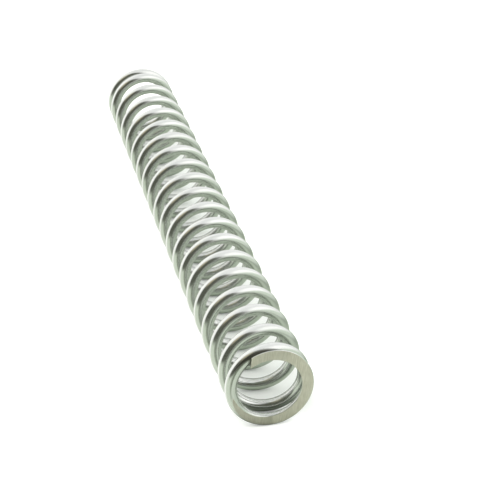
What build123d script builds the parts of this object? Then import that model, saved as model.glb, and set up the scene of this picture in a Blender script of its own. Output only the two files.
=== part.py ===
from build123d import *
from math import cos, pi, radians, sin, tan
import os

# Fork spring: a helical compression spring of round steel wire, wound right-handed,
# with closed ends ground flat. It stands on its lower seat: +Z runs up the coil axis,
# and the origin is the centre of the lower seat. All sizes are in millimetres.

outside_diameter = 35.0      # of every coil
wire_diameter = 4.8
free_length = 288.0          # between the two ground seats
total_turns = 20.588         # of wire, from tip to tip
upper_tip_angle = -51.6      # degrees about +Z from +X, where the wire ends at the top

# Each end coil lies against its neighbour, then opens smoothly to the working pitch.
# The closed turns are counted from the tip, and the tip gap is the daylight that is
# left between the tip and the coil beside it.
upper_closed_turns = 0.63
upper_opening_turns = 1.02
upper_tip_gap = 0.20
lower_closed_turns = 1.05
lower_opening_turns = 0.55
lower_tip_gap = 0.12

# The upper tip is drawn in a little towards the axis, and the wire is cut off there at a
# slant, with the inside of the cut leading. The cut takes off a short overrun.
upper_tip_curl = 0.50
upper_curl_turns = 0.20
upper_cut_slant = 34.5       # degrees from square across the wire
upper_cut_overrun = 0.024    # turns of wire beyond the middle of the cut

# Grinding cuts each end square to the axis, so the wire is thinnest at its tip.
upper_tip_thickness = 1.05
lower_tip_thickness = 1.55
seat_edge_break = 0.30       # bevel round the seats, which inside the upper one meets only the tip

# The centreline is drawn as short smooth curves, and the blank that grinding leaves
# stands clear of the wire by this much on its unground sides.
spans_per_turn = 8
points_per_span = 5
blank_clearance = 1.0

wire_radius = wire_diameter / 2
coil_radius = (outside_diameter - wire_diameter) / 2
bore_radius = coil_radius - wire_radius


def eased(share):
    """The smooth step from 0 to 1 that the pitch follows while a coil opens."""
    t = min(max(share, 0.0), 1.0)
    return t * t * (3 - 2 * t)


def eased_slope(share):
    t = min(max(share, 0.0), 1.0)
    return 6 * t * (1 - t)


def eased_total(share):
    """The area under eased, from 0."""
    t = min(max(share, 0.0), 1.0)
    return t ** 3 - t ** 4 / 2 + max(share - 1.0, 0.0)


class End:
    """One closed and ground end of the wire, with turns counted from its tip."""

    def __init__(self, closed_turns, opening_turns, tip_gap, tip_thickness):
        self.closed_turns = closed_turns
        self.opening_turns = opening_turns
        self.tip_rise = tip_thickness - wire_radius
        self.first_turn_rise = wire_diameter + tip_gap
        self.first_turn_open = self.open_turns(1.0)
        self.all_open = self.open_turns(total_turns)
        self.all_closed = total_turns - self.all_open

    def share_open(self, turns):
        return eased((turns - self.closed_turns) / self.opening_turns)

    def open_turns(self, turns):
        return self.opening_turns * eased_total((turns - self.closed_turns) / self.opening_turns)

    def closed_pitch(self, open_pitch):
        """The pitch at the tip that leaves the tip gap after exactly one turn."""
        return (self.first_turn_rise - open_pitch * self.first_turn_open) / (1 - self.first_turn_open)


upper = End(upper_closed_turns, upper_opening_turns, upper_tip_gap, upper_tip_thickness)
lower = End(lower_closed_turns, lower_opening_turns, lower_tip_gap, lower_tip_thickness)


def length_at(open_pitch):
    """The length between the seats for a working pitch, which it follows in a straight line."""
    ends = sum(end.tip_rise + end.all_closed * end.closed_pitch(open_pitch) for end in (upper, lower))
    return ends + (upper.all_open + lower.all_open - total_turns) * open_pitch


working_pitch = (free_length - length_at(0.0)) / (length_at(1.0) - length_at(0.0))
upper_pitch = upper.closed_pitch(working_pitch)
lower_pitch = lower.closed_pitch(working_pitch)


def pitch(turn):
    """Rise of the wire's centre per turn, with turns counted upwards from the lower tip."""
    from_lower = lower.share_open(turn)
    from_upper = upper.share_open(total_turns - turn)
    return (lower_pitch * (1 - from_lower) + upper_pitch * (1 - from_upper)
            + working_pitch * (from_lower + from_upper - 1))


def height(turn):
    """Height of the wire's centre above the lower seat."""
    from_lower = lower.open_turns(turn)
    from_upper = upper.all_open - upper.open_turns(total_turns - turn)
    return (lower.tip_rise + lower_pitch * (turn - from_lower) + upper_pitch * (turn - from_upper)
            + working_pitch * (from_lower + from_upper - turn))


def angle(turn):
    """Angle about +Z, in radians. It grows with height, which makes the winding right-handed."""
    return radians(upper_tip_angle) - 2 * pi * (total_turns - turn)


def radius(turn):
    """Distance of the wire's centre from the axis."""
    return coil_radius - upper_tip_curl * (1 - eased((total_turns - turn) / upper_curl_turns))


def centre(turn):
    return Vector(radius(turn) * cos(angle(turn)), radius(turn) * sin(angle(turn)), height(turn))


def outward(turn):
    return Vector(cos(angle(turn)), sin(angle(turn)), 0)


def heading(turn):
    onward = Vector(-sin(angle(turn)), cos(angle(turn)), 0) * (2 * pi * radius(turn))
    drift = -upper_tip_curl / upper_curl_turns * eased_slope((total_turns - turn) / upper_curl_turns)
    return (onward + outward(turn) * drift + Vector(0, 0, pitch(turn))).normalized()


def centreline():
    """The wire's centreline from the lower tip past the upper one, each span meeting the next in line."""
    wound_turns = total_turns + upper_cut_overrun
    spans = round(wound_turns * spans_per_turn)
    edges = []
    for i in range(spans):
        start = wound_turns * i / spans
        end = wound_turns * (i + 1) / spans
        points = [centre(start + (end - start) * k / (points_per_span - 1)) for k in range(points_per_span)]
        edges.append(Edge.make_spline(points, tangents=[heading(start), heading(end)]))
    return Wire(edges)


def wound_wire():
    """The round wire as it comes off the coiling machine."""
    section = Plane(origin=centre(0), z_dir=heading(0)) * Circle(wire_radius)
    return sweep(section, path=centreline(), is_frenet=True)


def ground_blank():
    """The ring that grinding leaves: flat at both seats, with their edges broken at 45 degrees."""
    outside = outside_diameter / 2
    upper_bore = bore_radius - upper_tip_curl
    side = seat_edge_break + blank_clearance
    profile = Polyline(
        (bore_radius + seat_edge_break, 0),
        (outside - seat_edge_break, 0),
        (outside + blank_clearance, side),
        (outside + blank_clearance, free_length - side),
        (outside - seat_edge_break, free_length),
        (upper_bore + seat_edge_break, free_length),
        (upper_bore - blank_clearance, free_length - side),
        (bore_radius - blank_clearance, side),
        close=True,
    )
    return revolve(Plane.XZ * make_face(profile), axis=Axis.Z)


def tip_offcut():
    """The overrun that the slanted cut takes off. Its floor lies in the gap under the upper tip."""
    onward = heading(total_turns)
    up = outward(total_turns).cross(onward)
    floor = centre(total_turns) - up * (wire_radius + upper_tip_gap / 2)
    wide = 1.2 * wire_radius
    lead = wide * tan(radians(upper_cut_slant))
    reach = 1.25 * upper_cut_overrun * 2 * pi * coil_radius
    outline = Polyline((-wide, lead), (wide, -lead), (wide, reach), (-wide, reach), close=True)
    plane = Plane(origin=floor, x_dir=outward(total_turns), z_dir=up)
    return extrude(plane * make_face(outline), 2 * wire_diameter)


coil_spring = wound_wire() & (ground_blank() - tip_offcut())
coil_spring.label = "coil_spring"

os.makedirs("parts", exist_ok=True)
export_step(coil_spring, "parts/coil_spring.step")
print("working pitch", round(working_pitch, 3), "volume", round(coil_spring.volume, 1))
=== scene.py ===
import math

import bmesh
import bpy
from mathutils import Matrix, Vector


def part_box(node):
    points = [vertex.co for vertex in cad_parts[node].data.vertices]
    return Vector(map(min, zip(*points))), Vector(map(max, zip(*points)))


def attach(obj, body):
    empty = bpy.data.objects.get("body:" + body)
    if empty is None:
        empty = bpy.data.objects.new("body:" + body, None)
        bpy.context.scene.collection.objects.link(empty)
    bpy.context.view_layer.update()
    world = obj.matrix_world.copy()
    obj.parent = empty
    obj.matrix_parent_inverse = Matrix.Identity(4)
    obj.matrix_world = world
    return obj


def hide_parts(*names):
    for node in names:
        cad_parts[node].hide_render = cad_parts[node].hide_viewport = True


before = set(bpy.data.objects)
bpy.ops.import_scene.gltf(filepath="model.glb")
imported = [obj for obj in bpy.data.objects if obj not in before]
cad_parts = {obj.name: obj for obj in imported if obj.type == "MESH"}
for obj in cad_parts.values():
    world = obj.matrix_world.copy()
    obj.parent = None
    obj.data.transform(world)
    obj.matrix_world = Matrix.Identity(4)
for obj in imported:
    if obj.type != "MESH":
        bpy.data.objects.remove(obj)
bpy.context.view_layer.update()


# The spring is one length of round steel wire, wound right-handed on a coiling machine.
# Its end coils lie closed against their neighbours and open smoothly to the even working
# pitch, so the whole wire follows one rule for its height at each turn.
wire_low, wire_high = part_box("coil_spring")
outside_diameter = wire_high.x - wire_low.x
free_length = wire_high.z - wire_low.z
wire_diameter = 0.0048
wire_radius = wire_diameter / 2
coil_radius = (outside_diameter - wire_diameter) / 2
total_turns = 20.588
upper_tip_angle = math.radians(-51.6)       # about +Z from +X, where the wire ends at the top
upper_tip_curl = 0.0005                     # how far the upper tip is drawn in towards the axis
upper_curl_turns = 0.20                     # the turns over which it is drawn in
upper_cut_slant = math.radians(34.5)        # from square across the wire, with the inside leading
upper_cut_overrun = 0.024                   # turns of wire beyond the middle of the cut
points_per_turn = 88
points_around = 48


class End:
    """One closed and ground end of the wire, with turns counted from its tip."""

    def __init__(self, closed_turns, opening_turns, tip_gap, tip_thickness):
        self.closed_turns = closed_turns
        self.opening_turns = opening_turns
        self.tip_rise = tip_thickness - wire_radius
        self.first_turn_rise = wire_diameter + tip_gap
        self.first_turn_open = self.open_turns(1.0)
        self.all_open = self.open_turns(total_turns)
        self.all_closed = total_turns - self.all_open

    def open_turns(self, turns):
        """How far the coil has opened: the area under a smooth step that starts where it lies closed."""
        share = (turns - self.closed_turns) / self.opening_turns
        step = min(max(share, 0.0), 1.0)
        return self.opening_turns * (step ** 3 - step ** 4 / 2 + max(share - 1.0, 0.0))

    def closed_pitch(self, open_pitch):
        """The pitch at the tip that leaves the tip gap after exactly one turn."""
        return (self.first_turn_rise - open_pitch * self.first_turn_open) / (1 - self.first_turn_open)


upper = End(closed_turns=0.63, opening_turns=1.02, tip_gap=0.00020, tip_thickness=0.00105)
lower = End(closed_turns=1.05, opening_turns=0.55, tip_gap=0.00012, tip_thickness=0.00155)


def length_at(open_pitch):
    """The length between the seats for a working pitch, which it follows in a straight line."""
    ends = sum(end.tip_rise + end.all_closed * end.closed_pitch(open_pitch) for end in (upper, lower))
    return ends + (upper.all_open + lower.all_open - total_turns) * open_pitch


working_pitch = (free_length - length_at(0.0)) / (length_at(1.0) - length_at(0.0))


def math_node(tree, operation, *values):
    """A Math node on numbers or sockets. It returns its result socket."""
    node = tree.nodes.new("ShaderNodeMath")
    node.operation = operation
    for socket, value in zip(node.inputs, values):
        if isinstance(value, bpy.types.NodeSocket):
            tree.links.new(value, socket)
        else:
            socket.default_value = value
    return node.outputs[0]


def vector_node(tree, x, y, z):
    """A vector from three numbers or sockets."""
    node = tree.nodes.new("ShaderNodeCombineXYZ")
    for socket, value in zip(node.inputs, (x, y, z)):
        if isinstance(value, bpy.types.NodeSocket):
            tree.links.new(value, socket)
        else:
            socket.default_value = value
    return node.outputs[0]


def coiling_tree():
    """Winds a wire: its centreline by the rule for its height, then its round section along it."""
    tree = bpy.data.node_groups.new("coil the wire", "GeometryNodeTree")
    tree.is_modifier = True
    face = tree.interface
    face.new_socket("Geometry", in_out="INPUT", socket_type="NodeSocketGeometry")
    face.new_socket("Geometry", in_out="OUTPUT", socket_type="NodeSocketGeometry")
    for name in ("Turns", "Coil radius", "Wire radius", "Upper tip angle", "Lower tip height",
                 "Working pitch", "Lower pitch", "Lower closed turns", "Lower opening turns",
                 "Upper pitch", "Upper closed turns", "Upper opening turns",
                 "Tip curl", "Curl turns", "Cut overrun"):
        face.new_socket(name, in_out="INPUT", socket_type="NodeSocketFloat")
    for name in ("Points per turn", "Points around"):
        face.new_socket(name, in_out="INPUT", socket_type="NodeSocketInt")
    face.new_socket("Wire material", in_out="INPUT", socket_type="NodeSocketMaterial")
    given = tree.nodes.new("NodeGroupInput").outputs
    link = tree.links.new

    def calc(operation, *values):
        return math_node(tree, operation, *values)

    def opened(turns, closed, opening):
        """Open turns within this many turns of a tip, as End.open_turns has them."""
        share = calc("DIVIDE", calc("SUBTRACT", turns, closed), opening)
        step = calc("MINIMUM", calc("MAXIMUM", share, 0.0), 1.0)
        eased = calc("SUBTRACT", calc("POWER", step, 3.0),
                     calc("MULTIPLY", calc("POWER", step, 4.0), 0.5))
        past = calc("MAXIMUM", calc("SUBTRACT", share, 1.0), 0.0)
        return calc("MULTIPLY", opening, calc("ADD", eased, past))

    straight = tree.nodes.new("GeometryNodeCurvePrimitiveLine")
    points = tree.nodes.new("GeometryNodeResampleCurve")
    link(straight.outputs["Curve"], points.inputs["Curve"])
    point_count = calc("CEIL", calc("MULTIPLY", given["Turns"], given["Points per turn"]))
    link(point_count, points.inputs["Count"])

    share = tree.nodes.new("GeometryNodeSplineParameter").outputs["Factor"]
    turn = calc("MULTIPLY", share, calc("ADD", given["Turns"], given["Cut overrun"]))
    left = calc("SUBTRACT", given["Turns"], turn)
    from_lower = opened(turn, given["Lower closed turns"], given["Lower opening turns"])
    upper_all = opened(given["Turns"], given["Upper closed turns"], given["Upper opening turns"])
    upper_left = opened(left, given["Upper closed turns"], given["Upper opening turns"])
    from_upper = calc("SUBTRACT", upper_all, upper_left)
    both = calc("SUBTRACT", calc("ADD", from_lower, from_upper), turn)
    height = calc("ADD", given["Lower tip height"],
                  calc("MULTIPLY", given["Lower pitch"], calc("SUBTRACT", turn, from_lower)))
    height = calc("ADD", height,
                  calc("MULTIPLY", given["Upper pitch"], calc("SUBTRACT", turn, from_upper)))
    height = calc("ADD", height, calc("MULTIPLY", given["Working pitch"], both))
    angle = calc("SUBTRACT", given["Upper tip angle"], calc("MULTIPLY", left, 2 * math.pi))
    uncurled = calc("MINIMUM", calc("MAXIMUM", calc("DIVIDE", left, given["Curl turns"]), 0.0), 1.0)
    steep = calc("SUBTRACT", 3.0, calc("MULTIPLY", uncurled, 2.0))
    uncurled = calc("MULTIPLY", calc("POWER", uncurled, 2.0), steep)
    radius = calc("SUBTRACT", given["Coil radius"],
                  calc("MULTIPLY", given["Tip curl"], calc("SUBTRACT", 1.0, uncurled)))
    place = vector_node(tree, calc("MULTIPLY", radius, calc("COSINE", angle)),
                        calc("MULTIPLY", radius, calc("SINE", angle)), height)
    wound = tree.nodes.new("GeometryNodeSetPosition")
    link(points.outputs["Curve"], wound.inputs["Geometry"])
    link(place, wound.inputs["Position"])
    upright = tree.nodes.new("GeometryNodeSetCurveNormal")
    upright.mode = "Z_UP"
    link(wound.outputs["Geometry"], upright.inputs["Curve"])

    def captured(geometry, value, kind):
        """Keeps a value on each point, so that it can be read after the wire is made solid."""
        node = tree.nodes.new("GeometryNodeCaptureAttribute")
        node.capture_items.new(kind, "value")
        link(geometry, node.inputs["Geometry"])
        link(value, node.inputs[1])
        return node.outputs["Geometry"], node.outputs[1]

    run = tree.nodes.new("GeometryNodeSplineParameter").outputs["Length"]
    centreline, run = captured(upright.outputs["Curve"], run, "FLOAT")
    section = tree.nodes.new("GeometryNodeCurvePrimitiveCircle")
    section.mode = "RADIUS"
    link(given["Points around"], section.inputs["Resolution"])
    link(given["Wire radius"], section.inputs["Radius"])
    spot = tree.nodes.new("GeometryNodeInputPosition").outputs["Position"]
    section, spot = captured(section.outputs["Curve"], spot, "VECTOR")

    solid = tree.nodes.new("GeometryNodeCurveToMesh")
    solid.inputs["Fill Caps"].default_value = True
    link(centreline, solid.inputs["Curve"])
    link(section, solid.inputs["Profile Curve"])
    across = tree.nodes.new("ShaderNodeSeparateXYZ")
    link(spot, across.inputs[0])
    drawn = tree.nodes.new("GeometryNodeStoreNamedAttribute")
    drawn.data_type = "FLOAT_VECTOR"
    drawn.domain = "POINT"
    drawn.inputs["Name"].default_value = "drawn_wire"
    link(solid.outputs["Mesh"], drawn.inputs["Geometry"])
    link(vector_node(tree, across.outputs[0], across.outputs[1], run), drawn.inputs["Value"])

    realized = tree.nodes.new("GeometryNodeRealizeInstances")
    link(drawn.outputs["Geometry"], realized.inputs[0])
    finish = tree.nodes.new("GeometryNodeSetMaterial")
    link(realized.outputs[0], finish.inputs["Geometry"])
    link(given["Wire material"], finish.inputs["Material"])
    link(finish.outputs["Geometry"], tree.nodes.new("NodeGroupOutput").inputs[0])
    return tree


def new_material(name):
    """An empty node material with its output, and its Principled shader."""
    material = bpy.data.materials.new(name)
    material.use_nodes = True
    return material, material.node_tree, material.node_tree.nodes["Principled BSDF"]


def stretched(tree, vector, scale):
    """The coordinates of a pattern, scaled apart in x, y and z."""
    node = tree.nodes.new("ShaderNodeMapping")
    node.inputs["Scale"].default_value = scale
    tree.links.new(vector, node.inputs["Vector"])
    return node.outputs["Vector"]


def noise(tree, vector, scale, detail, roughness=0.5):
    """Cloudy noise, with its scale in clouds per metre."""
    node = tree.nodes.new("ShaderNodeTexNoise")
    node.inputs["Scale"].default_value = scale
    node.inputs["Detail"].default_value = detail
    node.inputs["Roughness"].default_value = roughness
    tree.links.new(vector, node.inputs["Vector"])
    return node.outputs["Fac"]


def ranged(tree, value, from_low, from_high, to_low, to_high, smooth=False):
    """A value carried from one range to another and kept inside it, in a straight line or smoothly."""
    node = tree.nodes.new("ShaderNodeMapRange")
    node.interpolation_type = "SMOOTHSTEP" if smooth else "LINEAR"
    tree.links.new(value, node.inputs["Value"])
    for name, number in (("From Min", from_low), ("From Max", from_high),
                         ("To Min", to_low), ("To Max", to_high)):
        node.inputs[name].default_value = number
    return node.outputs["Result"]


def mixed(tree, factor, first, second):
    """Two colours, mixed by a factor."""
    node = tree.nodes.new("ShaderNodeMix")
    node.data_type = "RGBA"
    tree.links.new(factor, node.inputs["Factor"])
    for socket, value in ((node.inputs[6], first), (node.inputs[7], second)):
        if isinstance(value, bpy.types.NodeSocket):
            tree.links.new(value, socket)
        else:
            socket.default_value = (*value, 1.0)
    return node.outputs[2]


def bumped(tree, height, depth, below=None):
    """A bump of this depth in metres, over another one if there is one."""
    node = tree.nodes.new("ShaderNodeBump")
    node.inputs["Distance"].default_value = depth
    tree.links.new(height, node.inputs["Height"])
    if below is not None:
        tree.links.new(below, node.inputs["Normal"])
    return node.outputs["Normal"]


def drawn_wire_steel():
    """Bright drawn steel: fine lines along the wire from the die, and a faint grey-green oil film.

    The coiling point burnished a track along the outside and handling left small nicks. The
    narrow gaps beside the tips are darkened with painted shade.
    """
    clean_colour = (0.620, 0.640, 0.610)
    oiled_colour = (0.580, 0.605, 0.570)
    track_colour = (0.66, 0.68, 0.65)
    nick_colour = (0.42, 0.43, 0.38)
    # The next colour is painted shade for the narrow gaps beside the tips.
    crevice_shade_colour = (0.10, 0.095, 0.075)
    material, tree, shader = new_material("drawn wire steel")
    shader.inputs["Metallic"].default_value = 1.0
    attribute = tree.nodes.new("ShaderNodeAttribute")
    attribute.attribute_name = "drawn_wire"
    along = attribute.outputs["Vector"]
    section = tree.nodes.new("ShaderNodeSeparateXYZ")
    tree.links.new(along, section.inputs[0])
    outward = math_node(tree, "DIVIDE", section.outputs[0], wire_radius)
    upward = math_node(tree, "DIVIDE", section.outputs[1], -wire_radius)

    die_line_scale = 5200.0
    film_scale = 260.0
    scuff_scale = 2100.0
    track_edge = 0.90           # how far out the track starts, as a share of the wire's radius
    track_full = 0.97
    die_lines = noise(tree, stretched(tree, along, (1.0, 1.0, 0.012)), die_line_scale, 3.0, 0.6)
    film = noise(tree, stretched(tree, along, (1.0, 1.0, 0.25)), film_scale, 3.0)
    scuffs = noise(tree, stretched(tree, along, (1.0, 1.0, 0.08)), scuff_scale, 4.0, 0.7)
    burnished = math_node(tree, "MULTIPLY", ranged(tree, outward, track_edge, track_full, 0.0, 1.0, True),
                          ranged(tree, scuffs, 0.40, 0.55, 0.3, 1.0, True))

    nick_scale = 330.0
    nick_share = 0.14           # of the places where a nick could be
    nick_core = 0.09            # in shares of the space between those places
    nick_edge = 0.20
    cells = tree.nodes.new("ShaderNodeTexVoronoi")
    cells.inputs["Scale"].default_value = nick_scale
    tree.links.new(stretched(tree, along, (1.0, 1.0, 0.6)), cells.inputs["Vector"])
    chosen = tree.nodes.new("ShaderNodeSeparateXYZ")
    tree.links.new(cells.outputs["Color"], chosen.inputs[0])
    nicks = math_node(tree, "MULTIPLY",
                      ranged(tree, cells.outputs["Distance"], nick_core, nick_edge, 1.0, 0.0, True),
                      math_node(tree, "GREATER_THAN", chosen.outputs[0], 1.0 - nick_share))

    # Painted shade darkens the side of the neighbouring coil that faces the nearer seat, between two
    # depths below that seat, and the far side of the ground tip.
    crevice_shade_start = 0.0011
    crevice_shade_full = 0.0014
    crevice_shade_thins = 0.0020
    crevice_shade_end = 0.0027
    tip_shade_thins = 0.0008
    tip_shade_end = 0.0018
    height = tree.nodes.new("ShaderNodeSeparateXYZ")
    tree.links.new(tree.nodes.new("ShaderNodeTexCoord").outputs["Object"], height.inputs[0])
    from_top = math_node(tree, "SUBTRACT", free_length, height.outputs[2])
    depth = math_node(tree, "MINIMUM", from_top, height.outputs[2])
    end_side = math_node(tree, "SIGN", math_node(tree, "SUBTRACT", height.outputs[2], from_top))
    to_seat = math_node(tree, "MULTIPLY", upward, end_side)
    beside = math_node(tree, "MULTIPLY", ranged(tree, depth, crevice_shade_thins, crevice_shade_end, 1.0, 0.0, True),
                       ranged(tree, depth, crevice_shade_start, crevice_shade_full, 0.0, 1.0, True))
    beside = math_node(tree, "MULTIPLY", beside, ranged(tree, to_seat, 0.62, 0.76, 0.0, 1.0, True))
    under = math_node(tree, "MULTIPLY", ranged(tree, depth, tip_shade_thins, tip_shade_end, 1.0, 0.0, True),
                      ranged(tree, to_seat, -0.72, -0.92, 0.0, 1.0, True))
    crevice_shade = math_node(tree, "MAXIMUM", beside, under)

    nick_strength = 0.35
    crevice_shade_cover = 0.92
    steel = mixed(tree, ranged(tree, film, 0.35, 0.70, 0.0, 1.0, True), clean_colour, oiled_colour)
    steel = mixed(tree, burnished, steel, track_colour)
    steel = mixed(tree, math_node(tree, "MULTIPLY", nicks, nick_strength), steel, nick_colour)
    # Painted shade, dark, in the narrow gaps beside the tips.
    steel = mixed(tree, math_node(tree, "MULTIPLY", crevice_shade, crevice_shade_cover), steel, crevice_shade_colour)
    tree.links.new(steel, shader.inputs["Base Color"])

    smooth_wire = 0.13          # roughness between the die lines and in them
    lined_wire = 0.21
    film_roughness = 0.06
    burnishing = 0.05
    crevice_shade_roughness = 0.25
    rough = math_node(tree, "ADD", ranged(tree, die_lines, 0.3, 0.7, smooth_wire, lined_wire),
                      ranged(tree, film, 0.3, 0.7, 0.0, film_roughness))
    rough = math_node(tree, "SUBTRACT", rough, math_node(tree, "MULTIPLY", burnished, burnishing))
    rough = math_node(tree, "ADD", rough, math_node(tree, "MULTIPLY", crevice_shade, crevice_shade_roughness))
    tree.links.new(rough, shader.inputs["Roughness"])

    nick_depth = 0.000012
    die_line_depth = 0.0000025
    dented = bumped(tree, math_node(tree, "SUBTRACT", 1.0, nicks), nick_depth)
    tree.links.new(bumped(tree, die_lines, die_line_depth, dented), shader.inputs["Normal"])
    return material


def ground_steel():
    """Steel ground square on a wheel beside the spring: a matt face with fine, nearly straight grain.

    The last passes of the wheel left two faint steps in its tone, so the tone is set by the
    angle back from the tip. The lower seat is a little duller.
    """
    bright_metal = (0.80, 0.765, 0.685)
    dull_metal = (0.74, 0.705, 0.622)
    streak_colour = (0.31, 0.30, 0.23)
    streak_strength = 0.26
    grain_depth = 0.000006
    grain_scale = 3800.0
    cloud_scale = 420.0
    fine_ground = 0.46          # roughness between the dark streaks of the grain and in them
    coarse_ground = 0.60
    lower_seat_tone = 0.78
    # Each pair is a share of a turn back from the tip, and the tone of the metal there.
    wheel_tones = ((0.155, 0.86), (0.162, 0.96), (0.30, 0.99), (0.42, 0.93), (0.50, 0.895),
                   (0.573, 0.915), (0.577, 0.725), (0.60, 0.765), (0.63, 0.845), (0.75, 0.84), (0.86, 0.92))
    tip_tone = 0.91
    material, tree, shader = new_material("ground steel")
    shader.inputs["Metallic"].default_value = 1.0
    coordinates = tree.nodes.new("ShaderNodeTexCoord").outputs["Object"]
    grain = noise(tree, stretched(tree, coordinates, (1.0, 0.05, 1.0)), grain_scale, 3.0, 0.6)
    cloud = noise(tree, coordinates, cloud_scale, 3.0)
    place = tree.nodes.new("ShaderNodeSeparateXYZ")
    tree.links.new(coordinates, place.inputs[0])
    angle = math_node(tree, "ARCTAN2", place.outputs[1], place.outputs[0])
    back = math_node(tree, "DIVIDE", math_node(tree, "SUBTRACT", upper_tip_angle, angle), 2 * math.pi)
    tone = tree.nodes.new("ShaderNodeValToRGB")
    tree.links.new(math_node(tree, "WRAP", back, 1.0, 0.0), tone.inputs["Fac"])
    stops = tone.color_ramp.elements
    stops.remove(stops[1])
    stops[0].position = 0.0
    stops[0].color = (tip_tone, tip_tone, tip_tone, 1.0)
    for share, shade in wheel_tones:
        stop = stops.new(share)
        stop.color = (shade, shade, shade, 1.0)
    end_tone = ranged(tree, place.outputs[2], 0.0, free_length, lower_seat_tone, 1.0)

    metal = mixed(tree, ranged(tree, cloud, 0.3, 0.7, 0.0, 1.0), bright_metal, dull_metal)
    toned = tree.nodes.new("ShaderNodeMix")
    toned.data_type = "RGBA"
    toned.blend_type = "MULTIPLY"
    toned.inputs["Factor"].default_value = 1.0
    tree.links.new(metal, toned.inputs[6])
    tree.links.new(math_node(tree, "MULTIPLY", tone.outputs["Color"], end_tone), toned.inputs[7])
    streaks = ranged(tree, grain, 0.35, 0.65, 0.0, streak_strength)
    tree.links.new(mixed(tree, streaks, toned.outputs[2], streak_colour), shader.inputs["Base Color"])
    tree.links.new(ranged(tree, grain, 0.3, 0.7, fine_ground, coarse_ground), shader.inputs["Roughness"])
    tree.links.new(bumped(tree, grain, grain_depth), shader.inputs["Normal"])
    return material


def sheared_steel():
    """The cut end of the wire: burnished where the blade went in and torn where it broke through."""
    torn_colour = (0.20, 0.20, 0.17)
    burnished_colour = (0.42, 0.42, 0.37)
    torn_roughness = 0.62
    burnished_roughness = 0.40
    tear_scale = 2600.0
    tear_depth = 0.00006
    material, tree, shader = new_material("sheared steel")
    shader.inputs["Metallic"].default_value = 1.0
    coordinates = tree.nodes.new("ShaderNodeTexCoord").outputs["Object"]
    tears = noise(tree, stretched(tree, coordinates, (1.0, 1.0, 0.35)), tear_scale, 4.0, 0.65)
    tree.links.new(mixed(tree, ranged(tree, tears, 0.35, 0.65, 0.0, 1.0), torn_colour, burnished_colour),
                   shader.inputs["Base Color"])
    tree.links.new(ranged(tree, tears, 0.3, 0.7, torn_roughness, burnished_roughness),
                   shader.inputs["Roughness"])
    tree.links.new(bumped(tree, tears, tear_depth), shader.inputs["Normal"])
    return material


wire_steel = drawn_wire_steel()
seat_steel = ground_steel()
cut_steel = sheared_steel()

spring = bpy.data.objects.new("coil_spring_wire", bpy.data.meshes.new("coil_spring_wire"))
bpy.context.scene.collection.objects.link(spring)
coiling = spring.modifiers.new("coiling", "NODES")
coiling.node_group = coiling_tree()
coiling_sizes = {
    "Turns": total_turns,
    "Coil radius": coil_radius,
    "Wire radius": wire_radius,
    "Upper tip angle": upper_tip_angle,
    "Lower tip height": lower.tip_rise,
    "Working pitch": working_pitch,
    "Lower pitch": lower.closed_pitch(working_pitch),
    "Lower closed turns": lower.closed_turns,
    "Lower opening turns": lower.opening_turns,
    "Upper pitch": upper.closed_pitch(working_pitch),
    "Upper closed turns": upper.closed_turns,
    "Upper opening turns": upper.opening_turns,
    "Tip curl": upper_tip_curl,
    "Curl turns": upper_curl_turns,
    "Cut overrun": upper_cut_overrun,
    "Points per turn": points_per_turn,
    "Points around": points_around,
    "Wire material": wire_steel,
}
for socket in coiling.node_group.interface.items_tree:
    if socket.in_out == "INPUT" and socket.name in coiling_sizes:
        coiling[socket.identifier] = coiling_sizes[socket.name]

bpy.context.view_layer.update()
wound = bpy.data.meshes.new_from_object(spring.evaluated_get(bpy.context.evaluated_depsgraph_get()))
spring.modifiers.remove(coiling)


# The wire is cut off at its upper tip, and both ends are ground flat on a wheel. The seats and
# the cut have steels of their own, which these numbers pick from the wire's list of materials.
seat_material = 1
cut_material = 2
same_place = 1e-8           # points closer than this to a cut lie on it


def close_cut(body, facing, material_index):
    """Fills the open rim that a cut has left with one flat face, and keeps its edges sharp."""
    rim = [edge for edge in body.edges if edge.is_boundary]
    for face in bmesh.ops.contextual_create(body, geom=rim)["faces"]:
        face.material_index = material_index
        face.smooth = False
        if face.normal.dot(facing) < 0:
            face.normal_flip()
    for edge in rim:
        edge.smooth = False


def cut_tip(body):
    """Shears the overrun off the upper tip at a slant and closes the cut."""
    outward = Vector((math.cos(upper_tip_angle), math.sin(upper_tip_angle), 0.0))
    tip_radius = coil_radius - upper_tip_curl
    centre = outward * tip_radius + Vector((0.0, 0.0, free_length - upper.tip_rise))
    rise = Vector((0.0, 0.0, upper.closed_pitch(working_pitch)))
    onward = (Vector((-outward.y, outward.x, 0.0)) * (2 * math.pi * tip_radius) + rise).normalized()
    square = onward * math.cos(upper_cut_slant) + outward * math.sin(upper_cut_slant)
    drawn = body.verts.layers.float_vector["drawn_wire"]
    blade_reach = 2.5 * wire_diameter
    last_run = max(vert[drawn].z for vert in body.verts) - blade_reach
    near = {vert for vert in body.verts if vert[drawn].z > last_run}
    geometry = list(near)
    geometry += [edge for edge in body.edges if near.issuperset(edge.verts)]
    geometry += [face for face in body.faces if near.issuperset(face.verts)]
    bmesh.ops.bisect_plane(body, geom=geometry, dist=same_place, plane_co=centre, plane_no=square,
                           clear_outer=True)
    close_cut(body, square, cut_material)


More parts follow.
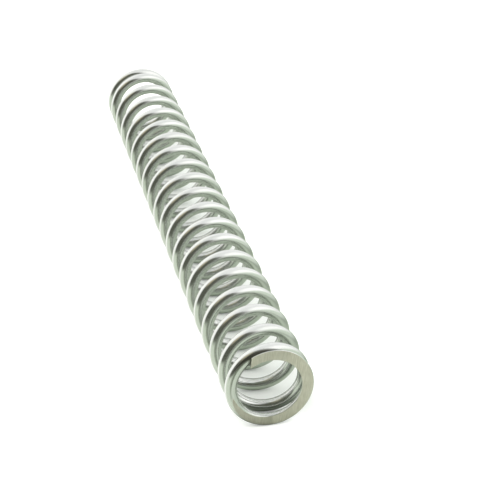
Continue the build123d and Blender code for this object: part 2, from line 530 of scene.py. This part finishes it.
def grind_seats(body, edge_break=0.0003, outer_deburr=0.0002, inner_deburr=0.00008):
    """Cuts both ends square to the coil, fills the two flat seats and breaks their rims.

    The wire gets a ring of points at each depth where a rim's shape changes. Its surface then
    moves towards the middle of the wire, by no more than half of the way.
    """
    for side, level, curl in ((-1, 0.0, 0.0), (1, free_length, upper_tip_curl)):
        for depth in (edge_break, outer_deburr, inner_deburr, 0.0):
            everything = body.verts[:] + body.edges[:] + body.faces[:]
            bmesh.ops.bisect_plane(body, geom=everything, dist=same_place,
                                   plane_co=(0, 0, level - side * depth), plane_no=(0, 0, side),
                                   clear_outer=depth == 0.0)
        close_cut(body, Vector((0.0, 0.0, side)), seat_material)
        for vert in body.verts:
            depth = abs(vert.co.z - level)
            if depth > edge_break:
                continue
            radius = math.hypot(vert.co.x, vert.co.y)
            back = (upper_tip_angle - math.atan2(vert.co.y, vert.co.x)) / (2 * math.pi) % 1.0
            uncurled = min(back / upper_curl_turns, 1.0)
            middle = coil_radius - curl * (1 - uncurled * uncurled * (3 - 2 * uncurled))
            reach = abs(radius - middle)
            deburr = outer_deburr if radius > middle else inner_deburr
            reach -= min(max(deburr - depth, 0.0), reach / 2)
            kept = middle + math.copysign(reach, radius - middle)
            widest = outside_diameter / 2 - edge_break + depth
            narrowest = coil_radius - wire_radius - curl + edge_break - depth
            kept = min(max(kept, narrowest), widest)
            vert.co.x *= kept / radius
            vert.co.y *= kept / radius


for face in wound.polygons:
    face.use_smooth = True
body = bmesh.new()
body.from_mesh(wound)
if body.calc_volume(signed=True) < 0:
    bmesh.ops.reverse_faces(body, faces=body.faces)
cut_tip(body)
grind_seats(body)
body.to_mesh(wound)
body.free()
wound.name = "coil_spring_wire"
spring.data = wound
wound.materials.append(seat_steel)
wound.materials.append(cut_steel)
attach(spring, "root")
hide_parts("coil_spring")


# A table top of white paper, which the spring lies against along its side. The camera sees it
# white, with a painted soft shadow under the coils. The steel mirrors it less brightly, with painted
# shade and glow, and on its +X side mirrors the tent instead. From behind it is see-through.
def direction(azimuth, elevation):
    """A unit vector: azimuth from +X towards +Y, elevation towards +Z, in degrees."""
    heading = math.radians(azimuth)
    rise = math.radians(elevation)
    level = math.cos(rise)
    return Vector((level * math.cos(heading), level * math.sin(heading), math.sin(rise)))


table_azimuth = 97.4
table_side = direction(table_azimuth, 0)
table_across = direction(table_azimuth - 90, 0)


def white_table():
    """Matt paper whose glow depends on the kind of ray that meets it.

    Places on it are measured across the spring, towards +X, and along it, upwards.
    """
    seen_paper = (0.61, 0.655, 0.60)
    mirrored_paper = (0.65, 0.735, 0.61)
    mirrored_shaded_paper = (0.38, 0.44, 0.36)
    mirrored_shade = (0.04, 0.045, 0.035)
    material, tree, shader = new_material("white table")
    tree.nodes.remove(shader)
    link = tree.links.new
    place = tree.nodes.new("ShaderNodeTexCoord").outputs["Object"]
    measured = tree.nodes.new("ShaderNodeVectorMath")
    measured.operation = "DOT_PRODUCT"
    link(place, measured.inputs[0])
    measured.inputs[1].default_value = table_across
    across = measured.outputs["Value"]
    upright = tree.nodes.new("ShaderNodeSeparateXYZ")
    link(place, upright.inputs[0])
    along = upright.outputs[2]
    rays = tree.nodes.new("ShaderNodeLightPath").outputs
    seen = math_node(tree, "MAXIMUM", rays["Is Camera Ray"], rays["Is Transmission Ray"])

    def faded(value, start, end, first=0.0, last=1.0):
        """A smooth change between two places."""
        return ranged(tree, value, start, end, first, last, True)

    def added(first, second):
        return math_node(tree, "ADD", first, second)

    def times(first, *others):
        for other in others:
            first = math_node(tree, "MULTIPLY", first, other)
        return first

    def without(value):
        return math_node(tree, "SUBTRACT", 1.0, value)

    # Painted shadow: a soft strip under the coils, a little to the -X side of the line that they touch.
    shade_offset = 0.0066
    shade_core = 0.0095
    shade_edge = 0.0300
    from_shade = math_node(tree, "ABSOLUTE", added(across, shade_offset))
    shade = times(faded(from_shade, start=shade_core, end=shade_edge, first=1.0, last=0.0),
                  faded(along, start=free_length - 0.014, end=free_length + 0.008, first=1.0, last=0.0),
                  faded(along, start=-0.035, end=-0.010),
                  faded(along, start=free_length - 0.088, end=free_length - 0.013, first=0.64, last=0.70))
    # Where little sky is open near the spring the glow is dimmed too, a painted contact shadow.
    contact_reach = 0.05
    contact_glow_least = 0.14
    fully_open = 0.88
    open_sky = tree.nodes.new("ShaderNodeAmbientOcclusion")
    open_sky.samples = 8
    open_sky.inputs["Distance"].default_value = contact_reach
    contact_glow = ranged(tree, open_sky.outputs["AO"], 0.0, fully_open, contact_glow_least, 1.0)
    seen_glow = math_node(tree, "MINIMUM", contact_glow, without(shade))

    # The glow that the steel mirrors is painted brighter towards +X and the lower end, and again well
    # off towards -X and beyond the upper end.
    mirrored_glow = times(faded(across, start=-0.012, end=0.045, first=0.05, last=0.60),
                          ranged(tree, along, -0.02, 0.36, 1.35, 0.50),
                          open_sky.outputs["AO"])
    mirrored_glow = added(mirrored_glow, faded(across, start=-0.07, end=-0.22, last=0.42))
    mirrored_glow = added(mirrored_glow,
                          faded(along, start=free_length + 0.001, end=free_length + 0.012, last=0.15))
    # The mirrored paper is painted darker towards -X.
    toned = mixed(tree, faded(across, start=-0.025, end=-0.09), mirrored_paper, mirrored_shaded_paper)

    # Under the closed end and just in front of it the mirrored paper is painted in shade. The front
    # edge of that patch runs at a slant on the +X side.
    front_slant = 0.7
    slanted = times(math_node(tree, "MAXIMUM", across, 0.0), front_slant)
    front = math_node(tree, "SUBTRACT", along, slanted)
    sideways = math_node(tree, "ABSOLUTE", across)
    under_end = times(faded(along, start=free_length - 0.020, end=free_length - 0.010, last=0.66),
                      faded(front, start=free_length - 0.0020, end=free_length + 0.0025,
                            first=1.0, last=0.0),
                      faded(sideways, start=0.012, end=0.020, first=1.0, last=0.0),
                      without(seen))
    toned = mixed(tree, under_end, toned, mirrored_shade)
    mirrored_glow = times(mirrored_glow, without(under_end))

    paper = tree.nodes.new("ShaderNodeBsdfDiffuse")
    link(mixed(tree, seen, toned, seen_paper), paper.inputs["Color"])
    glow = tree.nodes.new("ShaderNodeEmission")
    strength = added(times(seen, seen_glow), times(rays["Is Glossy Ray"], mirrored_glow))
    link(strength, glow.inputs["Strength"])
    both = tree.nodes.new("ShaderNodeAddShader")
    link(paper.outputs[0], both.inputs[0])
    link(glow.outputs[0], both.inputs[1])
    past_edge = times(faded(across, start=0.004, end=0.028), rays["Is Glossy Ray"])
    behind = tree.nodes.new("ShaderNodeNewGeometry").outputs["Backfacing"]
    sides = tree.nodes.new("ShaderNodeMixShader")
    link(math_node(tree, "MAXIMUM", behind, past_edge), sides.inputs[0])
    link(both.outputs[0], sides.inputs[1])
    link(tree.nodes.new("ShaderNodeBsdfTransparent").outputs[0], sides.inputs[2])
    link(sides.outputs[0], tree.nodes["Material Output"].inputs["Surface"])
    return material


table_reach = 8.0
table_front = 0.40          # above the lower seat
clear_of_spring = 0.00002
table_near = table_side * (outside_diameter / 2 + clear_of_spring)
table_corners = [table_near - table_across * table_reach + Vector((0.0, 0.0, -table_reach)),
                 table_near + table_across * table_reach + Vector((0.0, 0.0, -table_reach)),
                 table_near + table_across * table_reach + Vector((0.0, 0.0, table_front)),
                 table_near - table_across * table_reach + Vector((0.0, 0.0, table_front))]
table_mesh = bpy.data.meshes.new("table")
table_mesh.from_pydata(table_corners, [], [(0, 1, 2, 3)])
table_mesh.materials.append(white_table())
table = bpy.data.objects.new("table", table_mesh)
bpy.context.scene.collection.objects.link(table)


# A light tent of white cloth round the table, which glows brightest on one side. It is open
# towards the camera, where the darker room and its door show, and it is plainer on the side
# behind the table. The world behind it is plain white.
def tent_cloth():
    """Glowing cloth, whose tone changes smoothly with the direction from the spring."""
    material, tree, shader = new_material("tent cloth")
    tree.nodes.remove(shader)
    link = tree.links.new
    towards = tree.nodes.new("ShaderNodeVectorMath")
    towards.operation = "NORMALIZE"
    link(tree.nodes.new("ShaderNodeTexCoord").outputs["Object"], towards.inputs[0])

    def facing(azimuth, elevation):
        """How far a direction on the tent faces this one: the cosine between them."""
        node = tree.nodes.new("ShaderNodeVectorMath")
        node.operation = "DOT_PRODUCT"
        link(towards.outputs["Vector"], node.inputs[0])
        node.inputs[1].default_value = direction(azimuth, elevation)
        return node.outputs["Value"]

    def beyond(azimuth, elevation, edge, blur):
        """1 past an edge that is square to this direction, 0 before it, with a blurred line between."""
        return ranged(tree, facing(azimuth, elevation), edge - blur / 2, edge + blur / 2, 0.0, 1.0, True)

    white_cloth = (1.26, 1.25, 1.27)
    lit_cloth = (1.75, 1.71, 1.73)
    low_cloth = (1.44, 1.42, 1.41)
    back_cloth = (0.92, 1.02, 0.88)
    crown = (0.25, 0.29, 0.22)
    light = mixed(tree, beyond(azimuth=-150, elevation=25, edge=0.78, blur=0.25), white_cloth, lit_cloth)
    light = mixed(tree, beyond(azimuth=0, elevation=-30, edge=0.55, blur=0.50), light, low_cloth)
    light = mixed(tree, beyond(azimuth=150, elevation=22, edge=0.56, blur=0.30), light, back_cloth)
    light = mixed(tree, beyond(azimuth=-60, elevation=80, edge=0.90, blur=0.22), light, crown)

    dark_room = (0.135, 0.140, 0.115)
    wooden_door = (0.70, 0.62, 0.45)
    above_sill = beyond(azimuth=0, elevation=90, edge=-0.045, blur=0.13)
    open_side = beyond(azimuth=-5, elevation=48, edge=0.49, blur=0.10)
    opening = math_node(tree, "MULTIPLY", open_side, above_sill)
    room = mixed(tree, beyond(azimuth=-52, elevation=12, edge=0.955, blur=0.08), dark_room, wooden_door)
    light = mixed(tree, opening, light, room)

    side_cloth = (0.94, 1.02, 0.87)
    side_crown = (0.30, 0.34, 0.26)
    side_low = (1.38, 1.38, 1.34)
    upwards = facing(0, 90)
    side = mixed(tree, ranged(tree, upwards, 0.70, 0.96, 0.0, 1.0, True), side_cloth, side_crown)
    side = mixed(tree, ranged(tree, upwards, 0.05, -0.50, 0.0, 1.0, True), side, side_low)
    behind_table = beyond(azimuth=table_azimuth, elevation=0, edge=0.0, blur=0.12)

    glow = tree.nodes.new("ShaderNodeEmission")
    glow.inputs["Strength"].default_value = 1.0
    link(mixed(tree, behind_table, light, side), glow.inputs["Color"])
    link(glow.outputs[0], tree.nodes["Material Output"].inputs["Surface"])
    return material


tent_radius = 5.0
tent = bpy.data.objects.new("light_tent", bpy.data.meshes.new("light_tent"))
bpy.context.scene.collection.objects.link(tent)
shell = bmesh.new()
bmesh.ops.create_uvsphere(shell, u_segments=96, v_segments=48, radius=tent_radius)
bmesh.ops.reverse_faces(shell, faces=shell.faces)
shell.to_mesh(tent.data)
shell.free()
tent.data.materials.append(tent_cloth())
tent.visible_camera = False

world = bpy.data.worlds.new("white surroundings")
bpy.context.scene.world = world
world.use_nodes = True
world.node_tree.nodes["Background"].inputs["Color"].default_value = (1.0, 1.0, 1.0, 1.0)
world.node_tree.nodes["Background"].inputs["Strength"].default_value = 1.0


# The camera looks down on the upper end from close by, so the spring shrinks away from it.
# It stands where the photograph was taken from.
camera_place = Vector((0.168907, -0.321483, 0.778829))
camera_right = Vector((-0.964172, -0.124611, 0.234188)).normalized()
camera_forward = Vector((-0.265277, 0.452909, -0.851177)).normalized()
camera_up = camera_right.cross(camera_forward).normalized()
camera_lens = bpy.data.cameras.new("camera")
camera_lens.lens = 113.64
camera_lens.sensor_width = 36.0
camera = bpy.data.objects.new("camera", camera_lens)
bpy.context.scene.collection.objects.link(camera)
turned = Matrix((camera_right, camera_up, -camera_forward)).transposed()
camera.matrix_world = Matrix.Translation(camera_place) @ turned.to_4x4()
bpy.context.scene.camera = camera
bpy.context.scene.view_settings.view_transform = "Standard"
